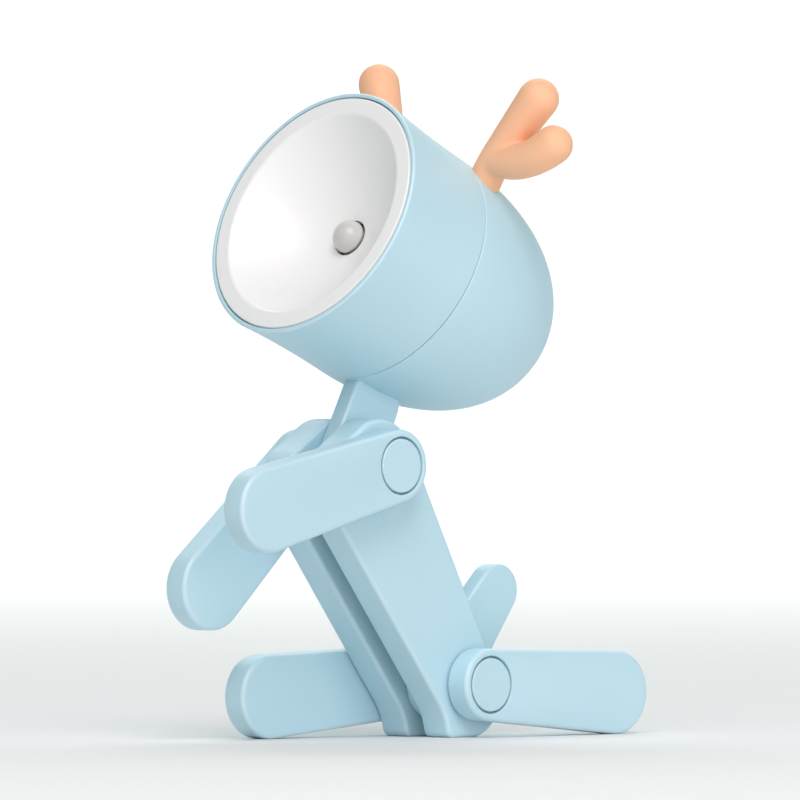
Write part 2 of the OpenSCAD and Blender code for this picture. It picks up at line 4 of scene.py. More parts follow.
import bmesh
import bpy
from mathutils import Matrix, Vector


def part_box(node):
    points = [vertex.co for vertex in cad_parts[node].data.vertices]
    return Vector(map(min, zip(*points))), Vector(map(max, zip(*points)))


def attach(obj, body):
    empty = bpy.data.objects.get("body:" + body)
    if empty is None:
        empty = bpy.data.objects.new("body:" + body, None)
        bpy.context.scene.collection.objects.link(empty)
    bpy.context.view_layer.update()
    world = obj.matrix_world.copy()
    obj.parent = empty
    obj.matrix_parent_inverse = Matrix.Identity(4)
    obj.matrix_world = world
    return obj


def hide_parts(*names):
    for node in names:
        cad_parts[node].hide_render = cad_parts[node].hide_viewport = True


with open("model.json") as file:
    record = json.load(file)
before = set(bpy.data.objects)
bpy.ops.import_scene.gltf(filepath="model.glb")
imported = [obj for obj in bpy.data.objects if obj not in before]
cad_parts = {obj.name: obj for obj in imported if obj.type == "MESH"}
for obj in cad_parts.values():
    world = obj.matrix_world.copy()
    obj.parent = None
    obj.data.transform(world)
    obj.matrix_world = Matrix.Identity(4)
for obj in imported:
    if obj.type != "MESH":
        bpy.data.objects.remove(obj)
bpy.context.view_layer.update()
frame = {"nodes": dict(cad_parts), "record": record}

# Sizes in millimetres and angles in degrees, the same as in the solids
MM = 0.001
EDGE_R = 0.8
THIN_EDGE_R = 0.6
PLATE_LOWER_R = 7.5
HEEL = 2.2
HEEL_BACK = 0.4
TOE_R = 1.6
TOE_FORWARD = 4.4
PLATE_UPPER_R = 8.5
CHEST_R = 7.3
CHEST_FORWARD = 7.0
CHEST_DROP = 3.3
LEG_SPAN = 33.4
LEG_PIVOT_R = 6.6
LEG_END_R = 7.7
LEFT_FRONT_DROP = 13.5
RIGHT_FRONT_DROP = 41.5
TAIL_SPAN = 22.2
TAIL_TIP_R = 4.8
TAIL_LEAN = 40.0
HUB_R = 6.5
NECK_LEN = 37.7
NECK_W = 11.9
PIN_R = 3.0
PIN_HEAD_T = 1.6
RUNNING = 0.06
TOUCH_GAP = 0.02
SHOW_GAP = 0.25
HEAD_LEN = 58.0
FRONT_R = 24.2
SEAM_R = 23.2
SEAM_AT = 21.5
DOME_POWER = 2.2
SHELL_WALL = 1.7
SPIGOT_LEN = 5.0
SPIGOT_WALL = 1.5
RIM_W = 0.8
RIM_ROUND = 0.45
RING_W = 3.15
RING_T = 1.2
BOWL_DEPTH = 11.1
BOWL_WALL = 1.2
LENS_R = 3.1
LENS_GAP = 0.4
LENS_LIFT = 0.2
BOARD_GAP = 1.3
ANTLER_SETBACK = 3.8
ANTLER_SPREAD = 31.5
ANTLER_ROLL = 5.2
ANTLER_SINK = 0.35
ANTLER_ROOT_R = 3.2
ANTLER_FORK_R = 3.0
FORK_RISE = 4.2
STEM_FORWARD = 22.0
# Length, lean outwards, lean forward and tip radius
LONG_TINE = (13.9, 32.0, 9.0, 3.85)

# Sizes that only the eye needs, or that are drawn a little differently from the solids to match the photo
HOLLOW_R = 12.0
NECK_END_R = 21.3
NECK_CORNER = NECK_W / 4
PIN_HEAD_R = 4.88
PIN_EDGE_R = 0.22
PIN_GAP = 0.44
POCKET_EDGE_R = PIN_EDGE_R / 2
SEAM_GAP = 0.16
SEAM_ROUND = 0.18
RIM_LIP = RIM_W / 6
RING_ROUND = 0.35
BOWL_LIP_R = 0.9
LENS_WAIST = 0.5
LENS_FOOT_W = 0.4
LENS_FOOT_T = 0.8
# Length, lean outwards at the root and at the tip, and tip radius
SHORT_TINE = (14.7, 103.6, 43.6, 3.65)

# Mesh fineness
ARC_STEPS = 28
RUN_STEPS = 40
ROUND_STEPS = 7
LIP_STEPS = 3
FINE_EDGE_STEPS = 4
LATHE_STEPS = 192
PIN_STEPS = 96
DOME_STEPS = 72
BARREL_STEPS = 24
BOWL_STEPS = 40
LENS_STEPS = 24
TINE_STEPS = 6
SHARP_ANGLE = math.radians(35)
FLAT_MARGIN = 0.06
ANTLER_VOXEL = 0.22
ANTLER_SMOOTHING = 70
ANTLER_EASE = 0.5
BALL_FINENESS = 4

# Pivots and the head's directions, from the record's joints
joints = {j["name"]: j for j in frame["record"]["behaviour"]["joints"]}
lower = Vector(joints["tail_swing"]["pos_m"]) / MM
upper = Vector(joints["neck_tilt"]["pos_m"]) / MM
head_front = Vector(joints["head_twist"]["pos_m"]) / MM
head_back = Vector(joints["head_twist"]["axis"]).normalized()
head_left = Vector((0, -1, 0))
head_up = head_left.cross(head_back)


# Materials

# Mesh attribute: 1 on a rounded edge, 0 on the faces beside it; the material paints a highlight along it by
# paling the colour, and makes it a little glossier
EDGE_SHEEN = "edge_sheen"
WHITE = "FFFFFF"
# Sizes of the colour's drift and of the patches that break up the gloss and the painted edge highlight, in
# millimetres
FLOW_MM = 24
PATCH_MM = 7
FLOW_ROUGHNESS = 0.4
# Octaves of a soft and of a fine pattern
SOFT_DETAIL = 2.0
FINE_DETAIL = 3.0
# The range that most of a noise lies in
NOISE_LOW = 0.2
NOISE_HIGH = 0.8
# How much the painted highlight pales a rounded edge, and how much smoother the edge is
PAINTED_HIGHLIGHT = 0.25
EDGE_GLOSS = 0.2
GRAIN_STRENGTH = 0.35
# How long drawn lines are for their width, how far they change the gloss, and how dark the darkest are
DRAWN_STRETCH = 12.0
DRAWN_GLOSS = 0.08
DRAWN_SHADE = 0.86


def linear(hex_colour):
    """The linear colour of an sRGB hex value such as "BEDDE9"."""
    parts = [int(hex_colour[i:i + 2], 16) / 255 for i in (0, 2, 4)]
    return [c / 12.92 if c <= 0.04045 else ((c + 0.055) / 1.055) ** 2.4 for c in parts] + [1.0]


def add(tree, kind, inputs, **settings):
    """Adds a node with its settings; each input is a value or the socket that feeds it."""
    node = tree.nodes.new(kind)
    for name, value in settings.items():
        setattr(node, name, value)
    for name, value in inputs.items():
        if isinstance(value, bpy.types.NodeSocket):
            tree.links.new(value, node.inputs[name])
        else:
            node.inputs[name].default_value = value
    return node


def per_metre(size_mm):
    """Texture scale that gives features of this size."""
    return 1 / (size_mm * MM)


def moulded(name, colour, flow_colour, rough, drift_by, grain_mm, grain_depth, **sockets):
    """A moulded plastic: its colour drifts along the flow, the mould's grain breaks up the gloss, and its
    rounded edges are a little smoother and painted a little paler as a highlight."""
    material = bpy.data.materials.new(name)
    material.use_nodes = True
    tree = material.node_tree
    shader = tree.nodes["Principled BSDF"]
    place = add(tree, "ShaderNodeTexCoord", {}).outputs["Object"]
    flow = add(tree, "ShaderNodeTexNoise", {
        "Vector": place, "Scale": per_metre(FLOW_MM), "Detail": SOFT_DETAIL, "Roughness": FLOW_ROUGHNESS})
    drift = add(tree, "ShaderNodeMix", {
        0: flow.outputs["Fac"], 6: linear(colour), 7: linear(flow_colour)}, data_type="RGBA")
    patches = add(tree, "ShaderNodeTexNoise", {
        "Vector": place, "Scale": per_metre(PATCH_MM), "Detail": FINE_DETAIL})
    edge = add(tree, "ShaderNodeAttribute", {}, attribute_name=EDGE_SHEEN)
    sheen_mask = add(tree, "ShaderNodeMath", {
        0: edge.outputs["Fac"], 1: patches.outputs["Fac"]}, operation="MULTIPLY")
    # Painted highlight: the rounded edges are mixed towards white
    highlight_share = add(tree, "ShaderNodeMapRange", {
        "Value": sheen_mask.outputs["Value"], "To Min": 0.0, "To Max": PAINTED_HIGHLIGHT})
    highlighted = add(tree, "ShaderNodeMix", {
        0: highlight_share.outputs["Result"], 6: drift.outputs[2], 7: linear(WHITE)}, data_type="RGBA")
    matt = add(tree, "ShaderNodeMapRange", {
        "Value": patches.outputs["Fac"], "From Min": NOISE_LOW, "From Max": NOISE_HIGH,
        "To Min": rough - drift_by, "To Max": rough + drift_by})
    gloss = add(tree, "ShaderNodeMath", {
        0: sheen_mask.outputs["Value"], 1: -EDGE_GLOSS, 2: matt.outputs["Result"]}, operation="MULTIPLY_ADD")
    grain = add(tree, "ShaderNodeTexNoise", {
        "Vector": place, "Scale": per_metre(grain_mm), "Detail": SOFT_DETAIL})
    bump = add(tree, "ShaderNodeBump", {
        "Strength": GRAIN_STRENGTH, "Distance": grain_depth * MM, "Height": grain.outputs["Fac"]})
    tree.links.new(highlighted.outputs[2], shader.inputs["Base Color"])
    tree.links.new(gloss.outputs["Value"], shader.inputs["Roughness"])
    tree.links.new(bump.outputs["Normal"], shader.inputs["Normal"])
    for socket, value in sockets.items():
        shader.inputs[socket.replace("_", " ")].default_value = value
    return material


def plated(name, colour, rough, brush_mm):
    """A bright metal with fine drawn lines that stretch its highlights."""
    material = bpy.data.materials.new(name)
    material.use_nodes = True
    tree = material.node_tree
    shader = tree.nodes["Principled BSDF"]
    place = add(tree, "ShaderNodeTexCoord", {}).outputs["Object"]
    drawn = add(tree, "ShaderNodeMapping", {"Vector": place, "Scale": (1.0, 1.0, DRAWN_STRETCH)})
    lines = add(tree, "ShaderNodeTexNoise", {
        "Vector": drawn.outputs["Vector"], "Scale": per_metre(brush_mm), "Detail": FINE_DETAIL})
    gloss = add(tree, "ShaderNodeMapRange", {
        "Value": lines.outputs["Fac"], "To Min": rough - DRAWN_GLOSS, "To Max": rough + DRAWN_GLOSS})
    bright = linear(colour)
    shaded = [DRAWN_SHADE * c for c in bright[:3]] + [1.0]
    tint = add(tree, "ShaderNodeMix", {0: lines.outputs["Fac"], 6: bright, 7: shaded}, data_type="RGBA")
    tree.links.new(tint.outputs[2], shader.inputs["Base Color"])
    tree.links.new(gloss.outputs["Result"], shader.inputs["Roughness"])
    shader.inputs["Metallic"].default_value = 1.0
    return material


# Pale blue ABS from a spark-eroded mould: an even satin with soft, wide highlights. The real grain is about
# 0.1 mm; it is drawn at 0.4 mm so that it shows.
satin_abs = moulded(
    "satin_abs_pale_blue", "BBDDE9", "C0E1EC", rough=0.45, drift_by=0.06, grain_mm=0.4, grain_depth=0.012,
    IOR=1.54)
# Soft-touch elastomer moulded in peach: nearly matt, with light that sinks in at the thin tips.
soft_touch = moulded(
    "soft_touch_elastomer_peach", "FDBD94", "FFC59E", rough=0.58, drift_by=0.05, grain_mm=0.45,
    grain_depth=0.012, IOR=1.5,
    Subsurface_Weight=0.12, Subsurface_Radius=(0.004, 0.002, 0.001), Subsurface_Scale=0.5)
# White polystyrene from a polished mould: clean and smooth, so the bowl shows soft reflections of itself.
polished_styrene = moulded(
    "polished_polystyrene_white", "F5F5F4", "F7F7F6", rough=0.38, drift_by=0.015, grain_mm=0.8,
    grain_depth=0.001, IOR=1.59)
# Milky acrylic of the lamp's lens: a grey-white body with a wet highlight.
milky_acrylic = moulded(
    "milky_acrylic_lens", "CFCCC9", "D6D3D0", rough=0.2, drift_by=0.02, grain_mm=0.9, grain_depth=0.001,
    IOR=1.49, Subsurface_Weight=0.3, Subsurface_Radius=(0.002, 0.002, 0.002), Subsurface_Scale=0.4)
# Pale elastomer of the friction rings: matt and slightly dusty.
pale_elastomer = moulded(
    "pale_elastomer_rings", "D7DCDD", "DDE1E2", rough=0.75, drift_by=0.05, grain_mm=0.3, grain_depth=0.01)
# Glass-fibre laminate of the lamp's board: green lacquer with a faint unevenness.
green_laminate = moulded(
    "green_laminate_board", "3F7F5F", "468868", rough=0.4, drift_by=0.05, grain_mm=0.5, grain_depth=0.006)
# Zinc-plated steel of the screws: a cool grey with long, soft highlights.
zinc_steel = plated("zinc_plated_steel", "BDBEC1", rough=0.32, brush_mm=0.3)
# Bare brass of the contacts: a warm yellow, drawn bright.
bare_brass = plated("bare_brass", "C9A45C", rough=0.3, brush_mm=0.25)
# Nickel-plated can of the cells: pale, and the brightest of the metals.
bright_can = plated("nickel_plated_can", "C9C9C8", rough=0.22, brush_mm=0.4)

finishes = {
    "blue_plastic": satin_abs, "white_plastic": polished_styrene, "peach_plastic": soft_touch,
    "lens_plastic": milky_acrylic, "friction_rubber": pale_elastomer, "screw_steel": zinc_steel,
    "contact_brass": bare_brass, "cell_can": bright_can, "board_laminate": green_laminate}
slot_of = {s["node"]: s["material_slot"] for s in frame["record"]["subparts"]}
body_of = {n: b for b, nodes in frame["record"]["behaviour"]["bodies"].items() for n in nodes}


# Meshes

def piece(name, mesh, node):
    """A finished piece that stands for a CAD node, on the node's body and in its material slot."""
    obj = bpy.data.objects.new(name, mesh)
    bpy.context.scene.collection.objects.link(obj)
    mesh.materials.append(finishes[slot_of[node]])
    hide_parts(node)
    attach(obj, body_of[node])
    return obj


def mesh_of(name, bm, edge_sheen):
    """Ends a bmesh: outward faces, smooth shading, sharp edges where the surface really turns, and the
    edge-sheen weights where the material paints a highlight."""
    bmesh.ops.recalc_face_normals(bm, faces=bm.faces)
    for face in bm.faces:
        face.smooth = True
    for edge in bm.edges:
        edge.smooth = edge.calc_face_angle(0) < SHARP_ANGLE
    mesh = bpy.data.meshes.new(name)
    bm.to_mesh(mesh)
    bm.free()
    # The edge-sheen weights, along which the material paints a highlight
    mesh.attributes.new(EDGE_SHEEN, "FLOAT", "POINT").data.foreach_set("value", edge_sheen)
    return mesh


def skin(name, loops, wrap=False):
    """A surface through pairs of a loop and its edge sheen, the weight of the painted edge highlight. The
    loops have equally many points, in millimetres; a loop of one point is a pole."""
    bm = bmesh.new()
    rows = [[bm.verts.new(p * MM) for p in loop] for loop, edge_sheen in loops]
    pairs = list(zip(rows, rows[1:]))
    if wrap:
        pairs.append((rows[-1], rows[0]))
    for a, b in pairs:
        n = max(len(a), len(b))
        for i in range(n):
            j = (i + 1) % n
            if len(a) == 1:
                bm.faces.new((a[0], b[j], b[i]))
            elif len(b) == 1:
                bm.faces.new((a[i], a[j], b[0]))
            else:
                bm.faces.new((a[i], a[j], b[j], b[i]))
    if not wrap:
        for row in (rows[0], rows[-1]):
            if len(row) > 1:
                bm.faces.new(row)
    return mesh_of(name, bm, [edge_sheen for loop, edge_sheen in loops for p in loop])


def round_edge(r, steps=ROUND_STEPS):
    """Insets, depths and edge-sheen weights (for the painted highlight) of a rounded edge, from the flat face
    to the side.
    """
    turns = [math.pi / 2 * k / steps for k in range(steps + 1)]
    return [(r * (1 - math.sin(a)), r * (1 - math.cos(a)), math.sin(2 * a)) for a in turns]


def belt_normal(a, b):
    """Angle of the normal on the straight run of a belt from circle a to circle b."""
    way = Vector(b[0]) - Vector(a[0])
    return math.atan2(way.y, way.x) - math.acos((a[1] - b[1]) / way.length)


def facing(angle):
    return Vector((math.cos(angle), math.sin(angle)))


def outline(circles):
    """Points and outward normals of the belt round circles ((x, z), r), listed anticlockwise in X and Z; the
    belt bends inwards round a circle with a negative radius."""
    normals = [belt_normal(a, b) for a, b in zip(circles, circles[1:] + circles[:1])]
    points = []
    for i, (c, r) in enumerate(circles):
        way = math.copysign(1, r)
        sweep = way * (way * (normals[i] - normals[i - 1]) % (2 * math.pi))
        for k in range(ARC_STEPS + 1):
            n = facing(normals[i - 1] + sweep * k / ARC_STEPS)
            points.append((Vector(c) + r * n, n))
        end, n = points[-1]
        d, s = circles[(i + 1) % len(circles)]
        start = Vector(d) + s * n
        for k in range(1, RUN_STEPS):
            points.append((end.lerp(start, k / RUN_STEPS), n))
    return points


def band(points, inset, y):
    """A loop along an outline, drawn in by inset, at y."""
    return [Vector((p.x - inset * n.x, y, p.y - inset * n.y)) for p, n in points]


def ring(points, centre, r, y):
    """A round loop about centre whose points face those of an outline."""
    middle = Vector(centre)
    return [Vector((q.x, y, q.y)) for q in (middle + r * (p - middle).normalized() for p, n in points)]


def plate_sides(points, y0, y1, edge_r):
    """The loops of a flat piece from its face at y0 round both edges to its face at y1."""
    way = math.copysign(1, y1 - y0)
    steps = [(edge_r + FLAT_MARGIN, 0, 0)] + round_edge(edge_r)
    return ([(band(points, i, y0 + way * d), edge_sheen) for i, d, edge_sheen in steps]
            + [(band(points, i, y1 - way * d), edge_sheen) for i, d, edge_sheen in reversed(steps)])


def along(pivot, degrees, length):
    """The point in X and Z at this distance from a pivot, at this angle above +X."""
    a = math.radians(degrees)
    return (pivot.x + length * math.cos(a), pivot.z + length * math.sin(a))


def y_range(node):
    """Where a node begins and ends across the body, from the middle outwards."""
    low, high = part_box(node)
    return sorted((low.y / MM, high.y / MM), key=abs)


def body_plate(node):
    y_in, y_out = y_range(node)
    chest = ((upper.x - CHEST_FORWARD, upper.z - CHEST_DROP), CHEST_R)
    toe = ((lower.x - TOE_FORWARD, TOE_R), TOE_R)
    heel = ((lower.x + HEEL_BACK, lower.z - HEEL), PLATE_LOWER_R)
    shoulder = ((upper.x, upper.z), PLATE_UPPER_R)
    # The front edge bends into the toe through a hollow
    front, shin = facing(belt_normal(chest, heel)), facing(belt_normal(heel, toe))
    reach = (PLATE_LOWER_R + HOLLOW_R) / (1 + front.dot(shin))
    hollow = (tuple(Vector(heel[0]) + reach * (front + shin)), -HOLLOW_R)
    points = outline([chest, hollow, toe, heel, shoulder])
    return piece(node + "_moulding", skin(node + "_moulding", plate_sides(points, y_in, y_out, EDGE_R)), node)


def leg(node, pivot, degrees):
    y_in, y_out = y_range(node)
    way = math.copysign(1, y_out)
    centre = (pivot.x, pivot.z)
    points = outline([(centre, LEG_PIVOT_R), (along(pivot, degrees, LEG_SPAN), LEG_END_R)])
    bore_r = PIN_R + RUNNING
    pocket_r = PIN_HEAD_R + PIN_GAP
    floor = y_out - way * (PIN_HEAD_T + TOUCH_GAP)
    lip = [(ring(points, centre, pocket_r + i, y_out - way * d), edge_sheen)
           for i, d, edge_sheen in round_edge(POCKET_EDGE_R, LIP_STEPS)]
    loops = ([(ring(points, centre, bore_r, y_in), 0)] + plate_sides(points, y_in, y_out, EDGE_R) + lip
             + [(ring(points, centre, r, floor), 0) for r in (pocket_r, bore_r)])
    return piece(node + "_moulding", skin(node + "_moulding", loops, wrap=True), node)


def tongue_bar(node, pivot, circles):
    """A thin bar that turns on a pin between the plates."""
    low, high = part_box(node)
    points = outline(circles)
    centre = (pivot.x, pivot.z)
    bore_r = PIN_R + RUNNING
    y0, y1 = low.y / MM, high.y / MM
    loops = ([(ring(points, centre, bore_r, y0), 0)] + plate_sides(points, y0, y1, THIN_EDGE_R)
             + [(ring(points, centre, bore_r, y1), 0)])
    return piece(node + "_moulding", skin(node + "_moulding", loops, wrap=True), node)


def lathe(name, profile, origin, axis, up, steps, wrap=False):
    """A turned surface: the profile gives radius and distance along the axis, and the painted edge
    highlight's weight on its corners.
    """
    side = axis.cross(up)
    loops = []
    for r, v, *edge_sheen in profile:
        centre = origin + v * axis
        turns = [2 * math.pi * k / steps for k in range(steps)] if r else [0]
        loops.append(([centre + r * (math.cos(a) * up + math.sin(a) * side) for a in turns], sum(edge_sheen)))
    return skin(name, loops, wrap)


def in_head(x, y, z):
    """A point of the head: x up, y to the deer's left and z back from the rim."""
    return head_front + x * head_up + y * head_left + z * head_back


def head_lathe(name, profile, wrap=False):
    return lathe(name, profile, head_front, head_back, head_up, LATHE_STEPS, wrap)


def corner(r0, v0, r, a0, a1, steps=ROUND_STEPS):
    """Profile points and painted edge-highlight weights of a round corner about (r0, v0), between two angles
    in degrees.
    """
    turns = [(math.radians(a0 + (a1 - a0) * k / steps), math.sin(math.pi * k / steps))
             for k in range(steps + 1)]
    return [(r0 + r * math.cos(a), v0 + r * math.sin(a), edge_sheen) for a, edge_sheen in turns]


def dome_line(r, length):
    """Half outline of the dome from its base to its tip."""
    turns = [math.pi / 2 * k / DOME_STEPS for k in range(DOME_STEPS)]
    power = 2 / DOME_POWER
    line = [(r * math.cos(a) ** power, SEAM_AT + length * math.sin(a) ** power) for a in turns]
    return line + [(0, SEAM_AT + length)]


def flare_r(v):
    return SEAM_R + (FRONT_R - SEAM_R) * (1 - v / SEAM_AT) ** 2


def bowl_at(r):
    return BOWL_DEPTH * (1 - (r / BOWL_R) ** 2)


RING_R = FRONT_R - RIM_W - SHOW_GAP
BOWL_R = RING_R - RING_W
HOLE_R = LENS_R + LENS_GAP
BOARD_AT = BOWL_DEPTH + BOWL_WALL + BOARD_GAP
SPIGOT_R = SEAM_R - SHELL_WALL - RUNNING


def front_shell():
    face = SEAM_AT - SEAM_GAP / 2
    inner = RING_R + SHOW_GAP
    ledge = RING_T + TOUCH_GAP
    bore = SEAM_R - SHELL_WALL
    barrel_end = face - SEAM_ROUND
    barrel = [RIM_ROUND + (barrel_end - RIM_ROUND) * k / BARREL_STEPS
              for k in range(1, BARREL_STEPS + 1)]
    profile = ([(inner, ledge), (inner, RIM_LIP)]
               + corner(inner + RIM_LIP, RIM_LIP, RIM_LIP, 180, 270, LIP_STEPS)
               + corner(FRONT_R - RIM_ROUND, RIM_ROUND, RIM_ROUND, 270, 360)
               + [(flare_r(v), v) for v in barrel]
               + corner(flare_r(barrel_end) - SEAM_ROUND, barrel_end, SEAM_ROUND, 0, 90, FINE_EDGE_STEPS)
               + [(bore, face), (bore, SEAM_AT - SPIGOT_LEN - RING_T), (RING_R - RING_T, ledge)])
    return piece("lamp_barrel", head_lathe("lamp_barrel", profile, wrap=True), "front_shell")


def rear_shell():
    face = SEAM_AT + SEAM_GAP / 2
    start = face + SEAM_ROUND
    outside = [q for q in dome_line(SEAM_R, HEAD_LEN - SEAM_AT) if q[1] > start]
    inner_r = SPIGOT_R - SPIGOT_WALL
    inside = [q for q in dome_line(SEAM_R - SHELL_WALL, HEAD_LEN - SEAM_AT - SHELL_WALL)
              if q[1] > face + SPIGOT_WALL]
    profile = (outside[::-1] + corner(SEAM_R - SEAM_ROUND, start, SEAM_ROUND, 0, -90, FINE_EDGE_STEPS)
               + [(SPIGOT_R, face), (SPIGOT_R, SEAM_AT - SPIGOT_LEN), (inner_r, SEAM_AT - SPIGOT_LEN),
                  (inner_r, face + SPIGOT_WALL)] + inside)
    return piece("head_dome", head_lathe("head_dome", profile), "rear_shell")


def reflector():
    slope = math.atan(2 * BOWL_DEPTH / BOWL_R)
    lip_at = BOWL_R + BOWL_LIP_R * math.tan(slope / 2)
    bowl_end = lip_at - BOWL_LIP_R * math.sin(slope)
    shares = [k / BOWL_STEPS for k in range(BOWL_STEPS)]
    front = [(r, bowl_at(r)) for r in (HOLE_R + (bowl_end - HOLE_R) * k for k in shares)]
    back = [(r, max(RING_T, bowl_at(r) + BOWL_WALL))
            for r in (lip_at + (HOLE_R - lip_at) * k for k in shares)]
    outer = RING_R - RING_ROUND
    profile = (front + corner(lip_at, BOWL_LIP_R, BOWL_LIP_R, 270 - math.degrees(slope), 270)
               + [(lip_at + FLAT_MARGIN, 0.0), (outer - FLAT_MARGIN, 0.0)]
               + corner(outer, RING_ROUND, RING_ROUND, 270, 360, FINE_EDGE_STEPS) + [(RING_R, RING_T)] + back
               + [(HOLE_R, bowl_at(HOLE_R) + BOWL_WALL)])
    return piece("reflector_bowl", head_lathe("reflector_bowl", profile, wrap=True), "reflector")


def lamp_lens():
    centre = bowl_at(HOLE_R) - LENS_LIFT
    foot = BOARD_AT - LENS_FOOT_T
    foot_r = LENS_R + LENS_FOOT_W
    waist = LENS_R - LENS_WAIST
    dome = [(r, v) for r, v, edge_sheen in corner(0, centre, LENS_R, -90, 0, LENS_STEPS)]
    profile = ([(0, centre - LENS_R)] + dome[1:]
               + [(waist, centre + LENS_LIFT / 2), (waist, foot), (foot_r, foot), (foot_r, BOARD_AT),
                  (0, BOARD_AT)])
    return piece("lens_dome", head_lathe("lens_dome", profile), "lamp_lens")


def pin_half(node, pivot):
    y_out = y_range(node)[1]
    way = Vector((0, math.copysign(1, y_out), 0))
    head = abs(y_out) - PIN_HEAD_T
    profile = [(0, TOUCH_GAP), (PIN_R, TOUCH_GAP), (PIN_R, head), (PIN_HEAD_R, head)]
    profile += corner(PIN_HEAD_R - PIN_EDGE_R, abs(y_out) - PIN_EDGE_R, PIN_EDGE_R, 0, 90)
    profile += [(PIN_HEAD_R - PIN_EDGE_R - FLAT_MARGIN, abs(y_out)), (0, abs(y_out))]
    mesh = lathe(node + "_turning", profile, Vector((pivot.x, 0, pivot.z)), way, Vector((0, 0, 1)), PIN_STEPS)
    return piece(node + "_turning", mesh, node)


def ball_points(centre, r):
    """Points spread over a ball, in metres; its centre is in head coordinates and its radius in
    millimetres."""
    ball = bmesh.new()
    bmesh.ops.create_icosphere(ball, subdivisions=BALL_FINENESS, radius=r)
    points = [(in_head(*centre) + v.co) * MM for v in ball.verts]
    ball.free()
    return points


def round_cone(target, a, ra, b, rb):
    """Adds the hull of two balls to a bmesh."""
    bm = bmesh.new()
    verts = [bm.verts.new(p) for p in ball_points(a, ra) + ball_points(b, rb)]
    hull = bmesh.ops.convex_hull(bm, input=verts)
    inner = {g for g in hull["geom_interior"] + hull["geom_unused"] if isinstance(g, bmesh.types.BMVert)}
    bmesh.ops.delete(bm, geom=list(inner), context="VERTS")
    mesh = bpy.data.meshes.new("round_cone")
    bm.to_mesh(mesh)
    bm.free()
    target.from_mesh(mesh)
    bpy.data.meshes.remove(mesh)


def antler(node, side):
    """A forked antler whose tines flow into each other; side is 1 on the left."""
    roll = math.radians(ANTLER_ROLL)
    at = SEAM_AT + ANTLER_SETBACK
    past_seam = (at - SEAM_AT) / (HEAD_LEN - SEAM_AT)
    seat = SEAM_R * (1 - past_seam ** DOME_POWER) ** (1 / DOME_POWER) - ANTLER_SINK

    def out(start, length, lean, forward=0.0):
        a = math.radians(lean)
        return (start[0] + length * math.cos(a), start[1] + length * side * math.sin(a),
                start[2] - length * math.sin(math.radians(forward)))

    def rolled(p):
        return (p[0] * math.cos(roll) - p[1] * math.sin(roll),
                p[0] * math.sin(roll) + p[1] * math.cos(roll), p[2])

    axis = (0.0, 0.0, at)
    root = out(axis, seat, ANTLER_SPREAD)
    fork = out(root, FORK_RISE + ANTLER_SINK, ANTLER_SPREAD, STEM_FORWARD)
    long_len, long_lean, long_forward, long_r = LONG_TINE
    long_tip = out(fork, long_len, long_lean, long_forward)
    short_len, root_lean, tip_lean, short_r = SHORT_TINE
    curve = [fork]
    for k in range(TINE_STEPS):
        lean = root_lean + (tip_lean - root_lean) * (k + 0.5) / TINE_STEPS
        curve.append(out(curve[-1], short_len / TINE_STEPS, lean))
    radii = [ANTLER_FORK_R + (short_r - ANTLER_FORK_R) * k / TINE_STEPS
             for k in range(TINE_STEPS + 1)]
    cones = [(root, ANTLER_ROOT_R, fork, ANTLER_FORK_R), (fork, ANTLER_FORK_R, long_tip, long_r)]
    cones += zip(curve, radii, curve[1:], radii[1:])
    bm = bmesh.new()
    for a, ra, b, rb in cones:
        round_cone(bm, rolled(a), ra, rolled(b), rb)
    rough = bpy.data.meshes.new(node + "_rough")
    bm.to_mesh(rough)
    bm.free()
    draft = bpy.data.objects.new(node + "_draft", rough)
    bpy.context.scene.collection.objects.link(draft)
    fused = draft.modifiers.new("fused", "REMESH")
    fused.mode = "VOXEL"
    fused.voxel_size = ANTLER_VOXEL * MM
    blended = draft.modifiers.new("blended", "SMOOTH")
    blended.factor = ANTLER_EASE
    blended.iterations = ANTLER_SMOOTHING
    mesh = bpy.data.meshes.new_from_object(draft.evaluated_get(bpy.context.evaluated_depsgraph_get()))
    mesh.name = node + "_form"
    bpy.data.objects.remove(draft)
    bpy.data.meshes.remove(rough)
    mesh.polygons.foreach_set("use_smooth", [True] * len(mesh.polygons))
    return piece(node + "_form", mesh, node)


for name in ("left_body_plate", "right_body_plate"):
    body_plate(name)
hind_drop = math.degrees(math.asin((lower.z - LEG_END_R) / LEG_SPAN))
leg("left_front_leg", upper, 180 + LEFT_FRONT_DROP)
leg("right_front_leg", upper, 180 + RIGHT_FRONT_DROP)
leg("left_hind_leg", lower, -hind_drop)
leg("right_hind_leg", lower, 180 + hind_drop)
tongue_bar("tail", lower, [
    ((lower.x, lower.z), HUB_R),
    (along(lower, 90 - TAIL_LEAN, TAIL_SPAN), TAIL_TIP_R)])
neck_way = Vector((head_up.x, head_up.z))
neck_across = Vector((neck_way.y, -neck_way.x))
neck_foot = Vector((upper.x, upper.z))
neck_top = neck_foot + (NECK_LEN - NECK_END_R - NECK_CORNER) * neck_way
tongue_bar("neck", upper, [
    (tuple(neck_foot), HUB_R),
    (tuple(neck_top + NECK_CORNER * neck_across), NECK_CORNER),
    (tuple(neck_top - NECK_CORNER * neck_across), NECK_CORNER)])
for name, pivot in (("upper", upper), ("lower", lower)):
    pin_half(name + "_pin_socket", pivot)
    pin_half(name + "_pin_stud", pivot)
rear_shell()
front_shell()
reflector()
lamp_lens()
antler("left_antler", 1)
antler("right_antler", -1)
for name, node in frame["nodes"].items():
    if not node.hide_render:
        node.data.materials.clear()
        node.data.materials.append(finishes[slot_of[name]])


# Stage, light and camera

# In metres
FLOOR_HALF = 3.0
COVE_R = 0.8
CAMERA_AWAY = 2.0
FRAME_W = 0.1468
VIEW_DEPTH = 20.0
